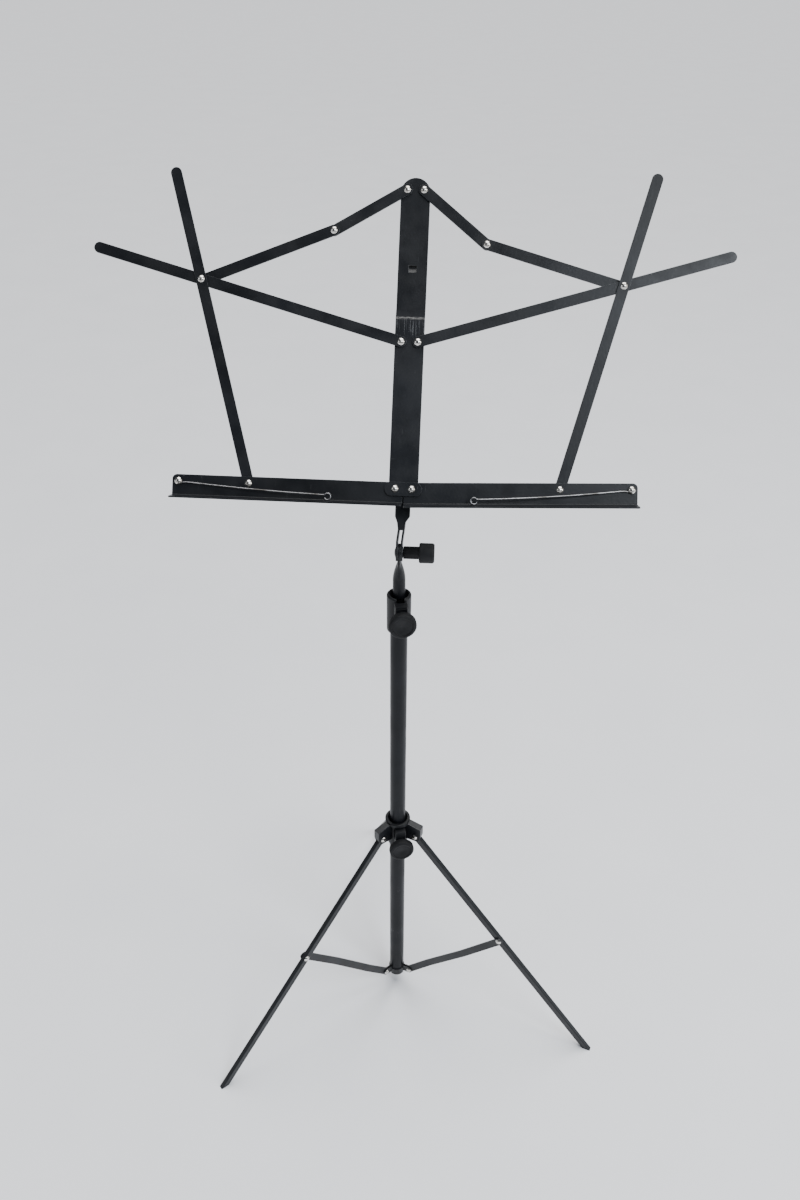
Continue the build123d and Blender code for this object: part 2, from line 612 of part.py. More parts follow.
def ledge_spacers():
    """Sleeves that hold the ledge clear of the arms at its pivots."""
    reach = (Z_LOWER_SPINE[1], Z_LEDGE[0] - GAP)
    tube = cylinder(4.4, *reach) - bore(RIVET_R + FIT, *reach)
    return [desk_frame * Pos(sign * PIVOT_HALF, 0, 0) * tube for sign in SIDES.values()]


def centre_plate():
    """Small stadium plate over both ledge pivots."""
    plate = slab(SlotCenterToCenter(*PLATE), Z_CENTRE_PLATE)
    for sign in SIDES.values():
        plate -= Pos(sign * PIVOT_HALF, 0, 0) * bore(RIVET_R + FIT, *Z_CENTRE_PLATE)
    return plate


def rivet_pair(up, low, high):
    """The two rivets at one height on the spine."""
    return [desk_frame * Pos(sign * PIVOT_HALF, up, 0) * rivet(low, high) for sign in SIDES.values()]


def crossing_tail():
    """Rear end of the crossing rivet: a tail behind the second link and a collar in front of it."""
    low, high = Z_SECOND_LINK
    tail = cylinder(RIVET_R, low - SINK, high + SINK) + cylinder(3.6, high, Z_LONG_ARM[0] - GAP)
    return tail + Pos(0, 0, low) * Rot(180, 0, 0) * dome(TAIL_R, TAIL_H)


def desk_bracket():
    """Formed bracket: a shouldered plate behind the spine, drawn in to two prongs on the tongue."""
    back, front = DESK_FORWARD - 3.4, DESK_FORWARD + Z_LOWER_SPINE[0]
    top = LEDGE_PIVOT_UP - 7.5
    tongue_half, tongue_top = 4.5, LEDGE_PIVOT_UP + 24
    cup, shoulder = CUP
    neck, neck_top, neck_x = NECK
    fork_half = prong_out - SINK
    right = [(DESK_SHIFT + cup, top), (DESK_SHIFT + cup, shoulder), (neck_x + neck, neck_top)]
    left = [(neck_x - neck, neck_top), (DESK_SHIFT - cup, shoulder), (DESK_SHIFT - cup, top)]
    foot = [(neck_x + fork_half, FORK), (neck_x - fork_half, FORK)]
    face = make_face(Polyline(*right, *foot, *left, close=True))
    face = fillet([v for v in face.vertices() if neck_top - 1 < v.Y < shoulder + 1], 2.6)
    plate = slab(face, (back, front))
    tongue = block((-tongue_half, tongue_half), (top - LOOSE, tongue_top), (back, front))
    plate += Pos(DESK_SHIFT, 0, 0) * tongue
    level = back + 0.5
    swell = [(0, CHEEK_R), (26.0, level), (54.0, level), (48.0, 0.0), (24.0, -8.0), (0, -CHEEK_R)]
    cheek = across(make_face(Polyline(*swell, close=True)) + Circle(CHEEK_R), 20)
    route = [(-12, 0), (11, 0), (32, DESK_SHIFT), (60, DESK_SHIFT)]
    for sign in SIDES.values():
        edge = [(x + sign * prong_in, up) for up, x in route]
        edge += [(x + sign * prong_out, up) for up, x in reversed(route)]
        plate += slab(make_face(Polyline(*edge, close=True)), (-20, 20)) & cheek
    hole = Rot(0, 90, 0) * bore(STUD_R + FIT, -prong_out, prong_out)
    return bracket_frame * (plate - hole)


save("desk_bracket", desk_bracket())
save("spine", desk_frame * spine())
save("centre_plate", desk_frame * centre_plate())
save("ledge_spacers", *ledge_spacers())
save("rivets_ledge", *rivet_pair(0, Z_LOWER_SPINE[0], Z_CENTRE_PLATE[1]))
save("rivets_long_arms", *rivet_pair(FOOT_BAR, Z_LOWER_SPINE[0], Z_LONG_ARM[1]))
save("rivets_spine_top", *rivet_pair(TOP_PIVOT, Z_UPPER_SPINE[0], Z_UPPER_LINK[1]))
for side in SIDES:
    at = linkage(side)
    elbow, crossing = [desk_frame * Pos(*at[name]) for name in ("elbow", "crossing")]
    diagonal_arm = bar(at["arm_foot"], at["crossing"], Z_DIAGONAL_ARM, ARM_BEYOND)
    long_arm = bar(at["arm_root"], at["crossing"], Z_LONG_ARM, ARM_BEYOND)
    save("ledge_" + side, desk_frame * ledge(side))
    save("diagonal_arm_" + side, desk_frame * diagonal_arm)
    save("long_arm_" + side, desk_frame * long_arm)
    save("upper_link_" + side, desk_frame * bar(at["top"], at["elbow"], Z_UPPER_LINK))
    save("second_link_" + side, desk_frame * bar(at["elbow"], at["crossing"], Z_SECOND_LINK))
    save("rivet_elbow_" + side, elbow * rivet(Z_UPPER_LINK[0], Z_SECOND_LINK[1], tail=0))
    save("rivet_crossing_" + side, crossing * rivet(*Z_DIAGONAL_ARM, tail=0))
    save("rivet_crossing_tail_" + side, crossing * crossing_tail())
    arm_foot_rivet = rivet(Z_DIAGONAL_ARM[0], Z_LEDGE[1], tail=TAIL_LOW)
    save("rivet_arm_foot_" + side, desk_frame * on_ledge(side, FOOT_BAR, arm_foot_rivet))
    holder_rivet = rivet(Z_LEDGE[0], Z_LEDGE[1] + 2 * WIRE_R + 2 * GAP, tail=0)
    save("rivet_holder_" + side, desk_frame * on_ledge(side, HOLDER_PIVOT, holder_rivet))
    save("page_holder_" + side, desk_frame * page_holder(side))

os.makedirs("parts", exist_ok=True)
for node, shape in nodes.items():
    export_step(shape, f"parts/{node}.step")
print(len(nodes), "nodes written")
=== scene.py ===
"""Looks of a black folding music stand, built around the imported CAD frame. Metres, +Z up."""
import json
import math

import bmesh
import bpy
from mathutils import Matrix, Vector


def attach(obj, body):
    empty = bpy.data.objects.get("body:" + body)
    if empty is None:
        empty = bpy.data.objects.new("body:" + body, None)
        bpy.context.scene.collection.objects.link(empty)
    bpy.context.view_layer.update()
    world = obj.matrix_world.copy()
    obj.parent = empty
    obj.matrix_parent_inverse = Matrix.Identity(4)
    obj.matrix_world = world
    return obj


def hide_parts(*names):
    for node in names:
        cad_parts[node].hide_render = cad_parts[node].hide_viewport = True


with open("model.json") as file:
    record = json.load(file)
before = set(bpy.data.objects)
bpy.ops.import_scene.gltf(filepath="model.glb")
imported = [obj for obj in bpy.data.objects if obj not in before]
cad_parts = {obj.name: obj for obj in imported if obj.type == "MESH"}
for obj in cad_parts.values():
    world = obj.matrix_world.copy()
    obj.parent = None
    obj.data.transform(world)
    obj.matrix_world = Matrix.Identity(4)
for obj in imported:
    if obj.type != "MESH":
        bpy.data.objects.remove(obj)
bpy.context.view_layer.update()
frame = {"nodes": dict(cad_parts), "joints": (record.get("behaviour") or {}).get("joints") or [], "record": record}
RECORD = frame["record"]
NODES = frame["nodes"]
SLOT_OF = {part["node"]: part["material_slot"] for part in RECORD["subparts"]}
BODY_OF = {node: body for body, members in RECORD["behaviour"]["bodies"].items() for node in members}
JOINTS = {joint["name"]: joint for joint in frame["joints"]}
SIDES = {"left": -1, "right": 1}

# The desk's own directions, from the axis that its bars fold about.
LEDGE_PIVOTS = {side: Vector(JOINTS["ledge_fold_" + side]["pos_m"]) for side in SIDES}
DESK_OUT = Vector(JOINTS["ledge_fold_right"]["axis"]).normalized()
DESK_RIGHT = (LEDGE_PIVOTS["right"] - LEDGE_PIVOTS["left"]).normalized()
DESK_UP = DESK_OUT.cross(DESK_RIGHT)
DESK_ORIGIN = (LEDGE_PIVOTS["right"] + LEDGE_PIVOTS["left"]) / 2

# Paint colours, in linear light.
PAINT_DARK = (0.0048, 0.0055, 0.0072)
PAINT_LIGHT = (0.0090, 0.0102, 0.0130)
PAINT_DUST = (0.062, 0.064, 0.068)
BARE_STEEL = (0.30, 0.29, 0.28)

# Where the paint has marks: how far up the desk the spine's step is, and the middle height and
# reach of each scuff on the lower tube.
SPINE_STEP_UP = 0.1742
TUBE_SCUFFS = ((0.196, 0.012), (0.108, 0.009))

# How a CAD mesh becomes a finished piece: welding distance, angles that count as flat and as
# sharp, and the usual width of a rounded edge.
WELD = 0.000002
FLAT = math.radians(0.8)
SHARP = math.radians(38)
EDGE = 0.00022

# Clamp knobs: thickness, hub behind the head, serrations and their depth, stud.
KNOB_THICK = 0.008
KNOB_HUB_R = 0.0065
KNURLS = 48
KNURL_DEPTH = 0.018
STUD_R = 0.00295

# Tilt knob: its neck and the length of its head.
TILT_NECK_R = 0.0066
TILT_HEAD = 0.016

# Page holders: wire, the turn round the rivet, the open eye, and how far the run bows down.
WIRE_R = 0.00075
RING_R = 0.00275
EYE_R = 0.0034
WIRE_BOW = {"left": 0.0011, "right": 0.0016}


# ---------------------------------------------------------------------------------------------
# stage: floor, light, camera
# ---------------------------------------------------------------------------------------------
def make_floor():
    bpy.ops.mesh.primitive_plane_add(size=80, location=(0, 0, 0))
    floor = bpy.context.object
    floor.name = "floor"
    paint = Paint("pale_floor", roughness=0.8)
    tone = paint.noise(6.0, detail=3)
    paint.color(paint.blend(tone, (0.80, 0.815, 0.85), (0.86, 0.872, 0.90)))
    floor.data.materials.append(paint.material)


def make_light(kind, name, place, aim, power, color=(1, 1, 1), size=(1, 1), angle=0.0):
    """Soft lamp at a place, facing the point it lights: a rectangular one, or a hazy sun."""
    data = bpy.data.lights.new(name, kind)
    data.energy = power
    data.color = color
    if kind == "AREA":
        data.shape = "RECTANGLE"
        data.size, data.size_y = size
    else:
        data.angle = math.radians(angle)
    lamp = bpy.data.objects.new(name, data)
    lamp.location = place
    lamp.rotation_euler = (Vector(aim) - Vector(place)).to_track_quat("-Z", "Y").to_euler()
    bpy.context.scene.collection.objects.link(lamp)


def make_world():
    """A dim sky that lights the stand, seen by the camera as a pale backdrop."""
    world = bpy.data.worlds.new("studio")
    bpy.context.scene.world = world
    world.use_nodes = True
    nodes, link = world.node_tree.nodes, world.node_tree.links.new
    sky = nodes["Background"]
    sky.inputs["Color"].default_value = (0.88, 0.93, 1.0, 1)
    sky.inputs["Strength"].default_value = 0.12
    backdrop = nodes.new("ShaderNodeBackground")
    backdrop.inputs["Color"].default_value = (0.62, 0.63, 0.65, 1)
    seen = nodes.new("ShaderNodeLightPath")
    shown = nodes.new("ShaderNodeMixShader")
    link(seen.outputs["Is Camera Ray"], shown.inputs[0])
    link(sky.outputs[0], shown.inputs[1])
    link(backdrop.outputs[0], shown.inputs[2])
    link(shown.outputs[0], nodes["World Output"].inputs["Surface"])


def make_lights():
    """Hazy light from above for the floor, and a window that the desk's right half mirrors."""
    desk = (0, 0, 0.85)
    haze, cool, warm = (1.0, 0.995, 0.99), (0.88, 0.94, 1.0), (1.0, 0.98, 0.95)
    make_light("SUN", "haze", (0.3, 0.8, 3.0), (0, 0, 0), 3.8, haze, angle=55)
    make_light("AREA", "window_mirrored", (1.55, -1.9, 3.0), desk, 66, cool, (1.3, 1.3))
    make_light("AREA", "window_right", (2.6, -0.7, 2.0), desk, 30, warm, (0.8, 1.7))
    make_light("AREA", "window_left", (-2.6, -1.2, 2.2), desk, 9, (0.93, 0.96, 1.0), (0.6, 1.3))


def make_camera():
    """Camera at the viewing angle of the reference: above and in front, a little to the right."""
    turn, pitch, roll = math.radians(2.712), math.radians(34.31), math.radians(0.394)
    ahead = Vector((-math.sin(turn), math.cos(turn), 0))
    forward = ahead * math.cos(pitch) - Vector((0, 0, math.sin(pitch)))
    level = Vector((math.cos(turn), math.sin(turn), 0))
    above = level.cross(forward)
    right = level * math.cos(roll) + above * math.sin(roll)
    up = above * math.cos(roll) - level * math.sin(roll)
    data = bpy.data.cameras.new("camera")
    data.sensor_width = 36
    data.lens = 31.02
    data.clip_end = 200
    camera = bpy.data.objects.new("camera", data)
    turned = Matrix((right, up, -forward)).transposed().to_4x4()
    camera.matrix_world = Matrix.Translation((0.0441, -0.9089, 1.2657)) @ turned
    bpy.context.scene.collection.objects.link(camera)
    bpy.context.scene.camera = camera


# ---------------------------------------------------------------------------------------------
# materials: a short way to write node graphs, then one function for each finish
# ---------------------------------------------------------------------------------------------
class Paint:
    """A material being painted: each method adds nodes and returns the socket to go on from."""

    def __init__(self, name, **sockets):
        self.material = bpy.data.materials.new(name)
        self.material.use_nodes = True
        self.tree = self.material.node_tree
        self.shader = self.tree.nodes["Principled BSDF"]
        self.place = self.tree.nodes.new("ShaderNodeTexCoord").outputs["Object"]
        for socket, value in sockets.items():
            name_shown = socket.replace("_", " ").title().replace("Ior", "IOR")
            self.shader.inputs[name_shown].default_value = value

    def feed(self, socket, value):
        """Link a socket to another, or set it to a number, vector or colour."""
        if isinstance(value, bpy.types.NodeSocket):
            self.tree.links.new(value, socket)
        elif isinstance(value, tuple) and len(value) == 3 and socket.type == "RGBA":
            socket.default_value = (*value, 1)
        else:
            socket.default_value = value

    def stretch(self, factors):
        """Coordinates stretched along x, y and z."""
        node = self.tree.nodes.new("ShaderNodeVectorMath")
        node.operation = "MULTIPLY"
        self.feed(node.inputs[0], self.place)
        self.feed(node.inputs[1], factors)
        return node.outputs[0]

    def along(self, direction, origin):
        """Distance along a direction from an origin."""
        shifted = self.tree.nodes.new("ShaderNodeVectorMath")
        shifted.operation = "SUBTRACT"
        self.feed(shifted.inputs[0], self.place)
        self.feed(shifted.inputs[1], tuple(origin))
        node = self.tree.nodes.new("ShaderNodeVectorMath")
        node.operation = "DOT_PRODUCT"
        self.feed(node.inputs[0], shifted.outputs[0])
        self.feed(node.inputs[1], tuple(direction))
        return node.outputs["Value"]

    def desk_place(self, across, up):
        """Coordinates in the desk's plane, scaled across it and up it."""
        node = self.tree.nodes.new("ShaderNodeCombineXYZ")
        self.feed(node.inputs[0], self.math("MULTIPLY", self.along(DESK_RIGHT, DESK_ORIGIN), across))
        self.feed(node.inputs[1], self.math("MULTIPLY", self.along(DESK_UP, DESK_ORIGIN), up))
        return node.outputs[0]

    def noise(self, scale, detail=2.0, roughness=0.5, where=None, distortion=0.0):
        node = self.tree.nodes.new("ShaderNodeTexNoise")
        self.feed(node.inputs["Vector"], where or self.place)
        self.feed(node.inputs["Scale"], scale)
        self.feed(node.inputs["Detail"], detail)
        self.feed(node.inputs["Roughness"], roughness)
        self.feed(node.inputs["Distortion"], distortion)
        return node.outputs["Fac"]

    def math(self, operation, a, b=0.0):
        node = self.tree.nodes.new("ShaderNodeMath")
        node.operation = operation
        self.feed(node.inputs[0], a)
        self.feed(node.inputs[1], b)
        return node.outputs[0]

    def fade(self, value, start, end, low=0.0, high=1.0):
        """Smooth change from low to high as value goes from start to end."""
        node = self.tree.nodes.new("ShaderNodeMapRange")
        node.interpolation_type = "SMOOTHSTEP"
        for index, given in enumerate((value, start, end, low, high)):
            self.feed(node.inputs[index], given)
        return node.outputs[0]

    def band(self, value, rise, fall):
        """One between two edges: it rises over the first pair of values and falls over the other."""
        return self.math("MULTIPLY", self.fade(value, *rise), self.fade(value, *fall))

    def blend(self, share, first, second):
        """Colour mixed from first to second."""
        node = self.tree.nodes.new("ShaderNodeMix")
        node.data_type = "RGBA"
        self.feed(node.inputs[0], share)
        self.feed(node.inputs[6], first)
        self.feed(node.inputs[7], second)
        return node.outputs[2]

    def color(self, value):
        self.feed(self.shader.inputs["Base Color"], value)

    def color_so_far(self):
        return self.shader.inputs["Base Color"].links[0].from_socket

    def rough(self, value):
        self.feed(self.shader.inputs["Roughness"], value)

    def metal(self, value):
        self.feed(self.shader.inputs["Metallic"], value)

    def bump(self, height, depth):
        """Raise the surface by height times depth, in metres, over any bump already there."""
        node = self.tree.nodes.new("ShaderNodeBump")
        self.feed(node.inputs["Height"], height)
        self.feed(node.inputs["Distance"], depth)
        normal = self.shader.inputs["Normal"]
        if normal.links:
            self.feed(node.inputs["Normal"], normal.links[0].from_socket)
        self.feed(normal, node.outputs[0])


def enamel(name, streaks=(900.0, 60.0, 60.0), peel=420.0, rough=0.36, gloss=0.34):
    """Satin black enamel: orange peel, cloudy sheen, dust, hairline scratches."""
    paint = Paint(name, specular_ior_level=gloss)
    cloud = paint.noise(11.0, detail=4, roughness=0.6)
    tone = paint.blend(paint.fade(cloud, 0.35, 0.7), PAINT_DARK, PAINT_LIGHT)
    dust = paint.fade(paint.noise(1500.0, detail=1), 0.71, 0.80, high=0.5)
    hair = paint.fade(paint.noise(1.0, detail=3, where=paint.stretch(streaks)), 0.70, 0.76, high=0.7)
    crosswise = paint.noise(1.0, detail=3, where=paint.stretch(streaks[::-1]))
    cross = paint.fade(crosswise, 0.73, 0.78, high=0.5)
    marks = paint.math("MAXIMUM", hair, cross)
    patches = paint.fade(paint.noise(26.0, detail=2), 0.45, 0.62)
    marks = paint.math("MULTIPLY", marks, patches)
    tone = paint.blend(dust, tone, PAINT_DUST)
    paint.color(paint.blend(marks, tone, PAINT_DUST))
    sheen = paint.fade(paint.noise(38.0, detail=3), 0.3, 0.72, low=rough - 0.05, high=rough + 0.10)
    paint.rough(paint.math("ADD", sheen, paint.math("MULTIPLY", marks, 0.25)))
    paint.bump(paint.noise(peel, detail=1), 0.00006)
    paint.bump(paint.math("SUBTRACT", 0.0, marks), 0.00003)
    return paint


def worn_edge(name):
    """The same enamel where an edge has been rubbed: thin, shiny, through to steel in places."""
    paint = Paint(name, specular_ior_level=0.5)
    rub = paint.fade(paint.noise(75.0, detail=5, roughness=0.7), 0.50, 0.66)
    chips = paint.fade(paint.noise(420.0, detail=2), 0.60, 0.68)
    bare = paint.math("MULTIPLY", rub, paint.math("ADD", paint.math("MULTIPLY", chips, 0.7), 0.25))
    paint.color(paint.blend(bare, (0.020, 0.022, 0.026), BARE_STEEL))
    paint.metal(paint.math("MULTIPLY", bare, 0.9))
    paint.rough(paint.fade(bare, 0.0, 1.0, low=0.30, high=0.42))
    paint.bump(paint.noise(900.0, detail=2), 0.00004)
    return paint.material


def spine_enamel():
    """Enamel of the spine, with the rubbed bend of its step, its bare steel partly real wear and partly a painted
    highlight, and the scratches under it.
    """
    paint = enamel("enamel_spine")
    up = paint.along(DESK_UP, DESK_ORIGIN)
    step = SPINE_STEP_UP
    scratch = paint.noise(1.0, detail=3, where=paint.desk_place(1500.0, 34.0))
    below = paint.band(up, (step - 0.024, step - 0.010), (step, step - 0.002))
    lines = paint.math("MULTIPLY", paint.fade(scratch, 0.56, 0.66, high=0.9), below)
    rubbed = paint.noise(1.0, detail=3, where=paint.desk_place(260.0, 900.0))
    # Thin band at the step's bend painted as bare steel: partly rubbed paint, partly a painted highlight on the
    # rounded bend.
    ridge = paint.band(up, (step - 0.0016, step), (step + 0.002, step + 0.0004))
    bend_wear_and_highlight = paint.math("MULTIPLY", ridge, paint.fade(rubbed, 0.36, 0.62))
    tone = paint.color_so_far()
    tone = paint.blend(lines, tone, (0.075, 0.077, 0.082))
    paint.color(paint.blend(bend_wear_and_highlight, tone, BARE_STEEL))
    paint.metal(paint.math("MULTIPLY", bend_wear_and_highlight, 0.8))
    paint.bump(paint.math("SUBTRACT", 0.0, lines), 0.00005)
    return paint.material


def tube_enamel():
    """Smoother enamel of the tubes, with faint drawn streaks and two scuffs low on the mast."""
    paint = enamel("enamel_tube", streaks=(700.0, 700.0, 14.0), peel=300.0, rough=0.34, gloss=0.16)
    height = paint.along((0, 0, 1), (0, 0, 0))
    flecks = paint.noise(1.0, detail=4, roughness=0.7, where=paint.stretch((420.0, 420.0, 70.0)))
    scuff = None
    for middle, extent in TUBE_SCUFFS:
        distance = paint.math("ABSOLUTE", paint.math("SUBTRACT", height, middle))
        near = paint.fade(distance, extent, extent * 0.3)
        mark = paint.math("MULTIPLY", near, paint.fade(flecks, 0.60, 0.70))
        scuff = mark if scuff is None else paint.math("MAXIMUM", scuff, mark)
    tone = paint.color_so_far()
    paint.color(paint.blend(scuff, tone, (0.09, 0.09, 0.095)))
    return paint.material


def nickel():
    """Bright nickel of the rivets: fine polish marks, a few dull spots."""
    paint = Paint("bright_nickel", metallic=1.0)
    stain = paint.fade(paint.noise(330.0, detail=4, roughness=0.65), 0.48, 0.68)
    paint.color(paint.blend(stain, (0.69, 0.675, 0.64), (0.40, 0.375, 0.34)))
    polish = paint.fade(paint.noise(900.0, detail=3), 0.3, 0.7, low=0.13, high=0.26)
    paint.rough(paint.math("ADD", polish, paint.math("MULTIPLY", stain, 0.14)))
    paint.bump(paint.noise(1.0, detail=2, where=paint.stretch((3200.0, 3200.0, 500.0))), 0.000006)
    return paint.material


def zinc():
    """Dull zinc plate of the nuts, with its cloudy spangle."""
    paint = Paint("zinc_plate", metallic=1.0)
    spangle = paint.noise(240.0, detail=5, roughness=0.7)
    paint.color(paint.blend(paint.fade(spangle, 0.35, 0.65), (0.46, 0.46, 0.45), (0.60, 0.60, 0.58)))
    paint.rough(paint.fade(spangle, 0.3, 0.7, low=0.34, high=0.50))
    paint.bump(paint.noise(1300.0, detail=2), 0.00001)
    return paint.material


def spring_steel():
    """Drawn spring wire: lengthwise lines, grey with a little oxide."""
    paint = Paint("spring_steel", metallic=1.0)
    lines = paint.noise(1.0, detail=3, where=paint.stretch((90.0, 3000.0, 3000.0)))
    oxide = paint.fade(paint.noise(60.0, detail=4), 0.46, 0.66)
    paint.color(paint.blend(oxide, (0.30, 0.30, 0.31), (0.13, 0.125, 0.12)))
    paint.rough(paint.fade(lines, 0.3, 0.7, low=0.26, high=0.42))
    paint.bump(lines, 0.00001)
    return paint.material


def knob_plastic():
    """Matte black plastic with a spark-eroded grain, a little greyer where it is handled."""
    paint = Paint("knob_plastic", specular_ior_level=0.20)
    grain = paint.noise(2600.0, detail=2)
    handled = paint.fade(paint.noise(60.0, detail=3), 0.40, 0.66)
    paint.color(paint.blend(handled, (0.0052, 0.0056, 0.0066), (0.0095, 0.0100, 0.0112)))
    paint.rough(paint.fade(grain, 0.3, 0.7, low=0.50, high=0.66))
    paint.bump(grain, 0.00005)
    return paint.material


def moulding():
    """Satin black moulding of the clamp and collar: flow marks and scratched flats."""
    paint = Paint("satin_moulding", specular_ior_level=0.22)
    flow = paint.noise(1.0, detail=4, where=paint.stretch((70.0, 70.0, 24.0)), distortion=0.6)
    cloud = paint.fade(flow, 0.35, 0.68)
    paint.color(paint.blend(cloud, (0.0048, 0.0053, 0.0066), (0.0090, 0.0097, 0.0115)))
    upright = paint.noise(1.0, detail=3, where=paint.stretch((1100.0, 1100.0, 55.0)))
    scratch = paint.fade(upright, 0.68, 0.76)
    sheen = paint.fade(flow, 0.3, 0.7, low=0.36, high=0.48)
    paint.rough(paint.math("ADD", sheen, paint.math("MULTIPLY", scratch, 0.15)))
    paint.bump(paint.noise(1700.0, detail=1), 0.00003)
    paint.bump(paint.math("SUBTRACT", 0.0, scratch), 0.00003)
    return paint.material


def nylon():
    """Natural nylon of the bush, a little yellow and dirty."""
    paint = Paint("natural_nylon", specular_ior_level=0.4)
    dirt = paint.fade(paint.noise(120.0, detail=4), 0.4, 0.7)
    paint.color(paint.blend(dirt, (0.62, 0.60, 0.54), (0.42, 0.39, 0.33)))
    paint.rough(paint.fade(dirt, 0.0, 1.0, low=0.42, high=0.6))
    paint.bump(paint.noise(900.0, detail=2), 0.00003)
    return paint.material


# ---------------------------------------------------------------------------------------------
# pieces
# ---------------------------------------------------------------------------------------------
def add_piece(name, mesh, nodes, materials):
    """Wrap a bmesh as a piece that stands for CAD nodes of one body and takes the given materials."""
    data = bpy.data.meshes.new(name)
    mesh.to_mesh(data)
    mesh.free()
    piece = bpy.data.objects.new(name, data)
    bpy.context.scene.collection.objects.link(piece)
    return dress(piece, nodes, materials)


def dress(piece, nodes, materials):
    for material in materials:
        piece.data.materials.append(material)
    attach(piece, BODY_OF[nodes[0]])
    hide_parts(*nodes)
    return piece


def whole_faces(node):
    """The node's mesh with its triangles joined back into the faces that they came from."""
    mesh = bmesh.new()
    mesh.from_mesh(NODES[node].data)
    bmesh.ops.remove_doubles(mesh, verts=mesh.verts, dist=WELD)
    bmesh.ops.dissolve_limit(mesh, angle_limit=FLAT, verts=mesh.verts, edges=mesh.edges, delimit=set())
    return mesh


def is_sharp(edge):
    return len(edge.link_faces) == 2 and edge.calc_face_angle(0) > SHARP


def smooth(mesh):
    """Shade smoothly, except across sharp edges."""
    for face in mesh.faces:
        face.smooth = True
    for edge in mesh.edges:
        edge.smooth = len(edge.link_faces) == 2 and not is_sharp(edge)


def refine(node, material, edge_material=None, width=EDGE):
    """A CAD node with its sharp edges rounded as a pressed or moulded piece has them."""
    mesh = whole_faces(node)
    bmesh.ops.bevel(
        mesh,
        geom=[edge for edge in mesh.edges if is_sharp(edge)],
        offset=width,
        offset_type="OFFSET",
        segments=2,
        profile=0.5,
        affect="EDGES",
        clamp_overlap=False,
        material=1 if edge_material else -1,
    )
    smooth(mesh)
    materials = [material, edge_material] if edge_material else [material]
    piece = add_piece(node + "_piece", mesh, [node], materials)
    weighted = piece.modifiers.new("flat_faces", "WEIGHTED_NORMAL")
    weighted.keep_sharp = True
    return piece


def polished(node, material):
    """A turned or headed CAD node, shaded smooth as it is."""
    mesh = whole_faces(node)
    smooth(mesh)
    return add_piece(node + "_piece", mesh, [node], [material])


def frame_along(origin, axis):
    """Placement whose z runs along an axis."""
    turn = Vector(axis).to_track_quat("Z", "Y").to_matrix().to_4x4()
    return Matrix.Translation(Vector(origin)) @ turn


def reach(node, origin, axis):
    """How far a node reaches along an axis, lowest and highest, and its radius about it."""
    axis, origin = Vector(axis).normalized(), Vector(origin)
    offsets = [vertex.co - origin for vertex in NODES[node].data.vertices]
    lengths = [offset.dot(axis) for offset in offsets]
    radius = max((offset - axis * length).length for offset, length in zip(offsets, lengths))
    return min(lengths), max(lengths), radius


def turned(profile, steps, ripple=None):
    """Solid of revolution of (radius, height, rippled) points about z, closed at both ends."""
    mesh = bmesh.new()
    rings = []
    for radius, height, rippled in profile:
        ring = []
        for step in range(steps):
            angle = 2 * math.pi * step / steps
            r = radius * (1 - ripple(angle)) if ripple and rippled else radius
            ring.append(mesh.verts.new((r * math.cos(angle), r * math.sin(angle), height)))
        rings.append(ring)
    for low, high in zip(rings, rings[1:]):
        for step in range(steps):
            after = (step + 1) % steps
            mesh.faces.new((low[step], low[after], high[after], high[step]))
    mesh.faces.new(rings[0][::-1])
    mesh.faces.new(rings[-1])
    return mesh


def arc_points(centre_r, centre_z, radius, start, end, steps, rippled=False):
    """Profile points along an arc, angles in degrees from the radial direction."""
    points = []
    for step in range(steps + 1):
        angle = math.radians(start + (end - start) * step / steps)
        r, z = centre_r + radius * math.cos(angle), centre_z + radius * math.sin(angle)
        points.append((r, z, rippled))
    return points


def serration(angle):
    """Share of its radius that a clamp knob's rim loses at an angle."""
    return KNURL_DEPTH * (0.5 - 0.5 * math.cos(KNURLS * angle))


def clamp_knob(node, joint, material):
    """Round clamp knob: serrated rim, dished face with a raised border, and its stud."""
    origin, axis = JOINTS[joint]["pos_m"], JOINTS[joint]["axis"]
    low, high, radius = reach(node, origin, axis)
    rear = high - KNOB_THICK
    rear_round, front_round, border_round = 0.0012, 0.0025, 0.0005
    chamfer, dish = 0.0005, 0.00055
    stud = [(STUD_R - chamfer, low), (STUD_R, low + chamfer), (STUD_R, rear - 0.0016)]
    hub = [(KNOB_HUB_R, rear - 0.0015), (KNOB_HUB_R, rear)]
    border = [(radius - front_round, high), (radius - 0.0034, high)]
    face = [(radius - 0.0052, high - dish), (0.0030, high - 0.00035)]
    dimple = [(0.0026, high - 0.0006), (0.0004, high - 0.0006)]
    profile = [(*point, False) for point in stud + hub]
    profile += arc_points(radius - rear_round, rear + rear_round, rear_round, -90, 0, 4, True)
    profile += arc_points(radius - front_round, high - front_round, front_round, 0, 90, 6, True)[:-1]
    profile += [(*point, False) for point in border]
    profile += arc_points(radius - 0.0042, high - border_round, border_round, 60, 90, 2)[::-1]
    profile += [(*point, False) for point in face + dimple]
    mesh = turned(profile, KNURLS * 4, serration)
    mesh.transform(frame_along(origin, axis))
    smooth(mesh)
    return add_piece(node + "_piece", mesh, [node], [material])


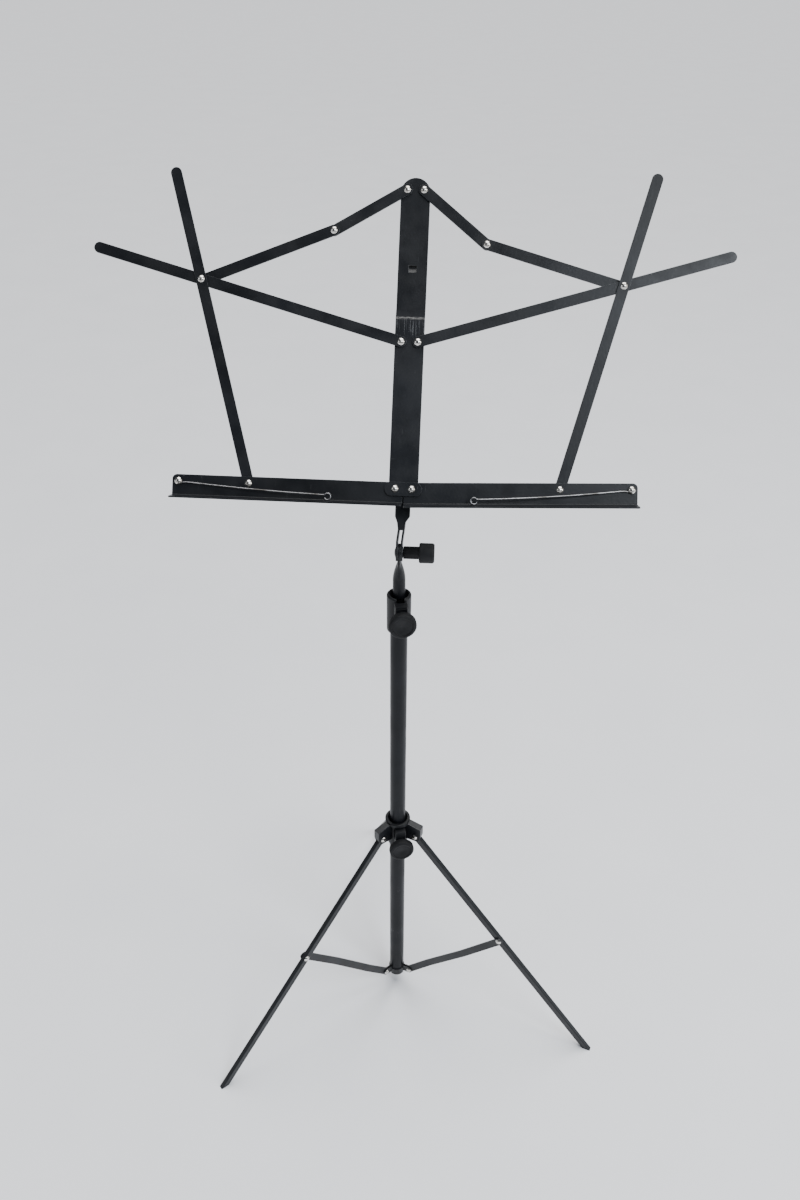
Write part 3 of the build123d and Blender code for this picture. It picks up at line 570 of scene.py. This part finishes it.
def tilt_knob(material):
    """Stepped knob of the tilt bolt: slim neck with a flared root, wide rounded head."""
    origin, axis = JOINTS["tilt_knob_turn"]["pos_m"], JOINTS["tilt_knob_turn"]["axis"]
    low, high, radius = reach("tilt_knob", origin, axis)
    head = high - TILT_HEAD
    rear_round, front_round, chamfer = 0.0016, 0.0024, 0.0004
    neck = [(STUD_R + 0.0002, low), (TILT_NECK_R - chamfer, low), (TILT_NECK_R, low + chamfer)]
    root = [(TILT_NECK_R, head - 0.0002), (TILT_NECK_R + 0.0004, head)]
    face = [(radius - 0.0032, high - 0.0002), (0.0005, high - 0.0004)]
    profile = [(*point, False) for point in neck + root]
    profile += arc_points(radius - rear_round, head + rear_round, rear_round, -90, 0, 6)
    profile += arc_points(radius - front_round, high - front_round, front_round, 0, 90, 8)
    profile += [(*point, False) for point in face]
    mesh = turned(profile, 96)
    mesh.transform(frame_along(origin, axis))
    smooth(mesh)
    return add_piece("tilt_knob_piece", mesh, ["tilt_knob"], [material])


def wire_points(side, eye, ring_out, eye_out):
    """Points of a page holder's wire: along it from the rivet, below the rivet, and outwards."""
    eye_along, eye_below = eye
    points = []
    for step in range(11):
        angle = math.radians(-200 + 19 * step)
        points.append((RING_R * math.sin(angle), RING_R * math.cos(angle), ring_out))
    start = (RING_R + 0.004, eye_below * 0.05 + 0.0004, ring_out + 0.0003)
    end = (eye_along - EYE_R * 0.9, eye_below - EYE_R * 0.44, eye_out - 0.0003)
    for share in (0.0, 0.1, 0.25, 0.4, 0.55, 0.7, 0.85, 0.96):
        bow = WIRE_BOW[side] * math.sin(math.pi * share) ** 0.9
        a, b, c = [low + (high - low) * share for low, high in zip(start, end)]
        points.append((a, b + bow, c))
    level_steps = 12
    for step in range(17):
        angle = math.radians(206 + 19.5 * step)
        radius = EYE_R * (1 - 0.003 * step)
        a, b = eye_along + radius * math.cos(angle), eye_below + radius * math.sin(angle)
        points.append((a, b, eye_out - 0.0001 * max(step - level_steps, 0)))
    return points


def page_holder(side, material):
    """Spring wire: a turn round its rivet, a slightly bowed run over the ledge, an open eye."""
    node = "page_holder_" + side
    pivot = Vector(JOINTS["page_holder_swing_" + side]["pos_m"])
    inward = (LEDGE_PIVOTS[side] - pivot).normalized()
    down = -SIDES[side] * inward.cross(DESK_OUT)
    offsets = [vertex.co - pivot for vertex in NODES[node].data.vertices]
    eye = [max(offset.dot(way) for offset in offsets) - EYE_R - WIRE_R for way in (inward, down)]
    out = [offset.dot(DESK_OUT) for offset in offsets]
    data = bpy.data.curves.new(node + "_wire", "CURVE")
    data.dimensions = "3D"
    data.bevel_depth = WIRE_R
    data.bevel_resolution = 4
    data.resolution_u = 6
    data.use_fill_caps = True
    points = wire_points(side, eye, min(out) + WIRE_R, max(out) - WIRE_R)
    spline = data.splines.new("NURBS")
    spline.points.add(len(points) - 1)
    for point, (a, b, c) in zip(spline.points, points):
        point.co = (*(pivot + inward * a + down * b + DESK_OUT * c), 1)
    spline.order_u = 3
    spline.use_endpoint_u = True
    piece = bpy.data.objects.new(node + "_wire", data)
    bpy.context.scene.collection.objects.link(piece)
    return dress(piece, [node], [material])


make_floor()
make_world()
make_lights()
make_camera()

sheet_enamel = enamel("enamel_sheet").material
bar_enamel = enamel("enamel_bar", streaks=(60.0, 900.0, 60.0)).material
rod_enamel = tube_enamel()
edge_enamel = worn_edge("enamel_rubbed_edge")
rivet_nickel = nickel()
knob_black = knob_plastic()
moulded_black = moulding()
nut_zinc = zinc()
bush_nylon = nylon()

# Material, edge material and width of the rounded edges, for each slot of plain refined nodes.
REFINED = {
    "enamelled_tube": (rod_enamel, edge_enamel, 0.00015),
    "plated_steel": (nut_zinc, None, 0.0003),
    "black_moulding": (moulded_black, None, 0.00025),
    "bush_plastic": (bush_nylon, None, 0.0003),
}
BARS = ("long_arm", "diagonal_arm", "upper_link", "second_link")

for node, slot in SLOT_OF.items():
    if slot == "nickel_rivet":
        polished(node, rivet_nickel)
    elif slot in REFINED:
        refine(node, *REFINED[slot])
    elif node == "spine":
        refine(node, spine_enamel(), edge_enamel)
    elif slot == "black_enamel":
        refine(node, bar_enamel if node.startswith(BARS) else sheet_enamel, edge_enamel)

clamp_knob("height_knob", "height_knob_turn", knob_black)
clamp_knob("collar_knob", "collar_knob_turn", knob_black)
tilt_knob(knob_black)
wire_steel = spring_steel()
for side in SIDES:
    page_holder(side, wire_steel)
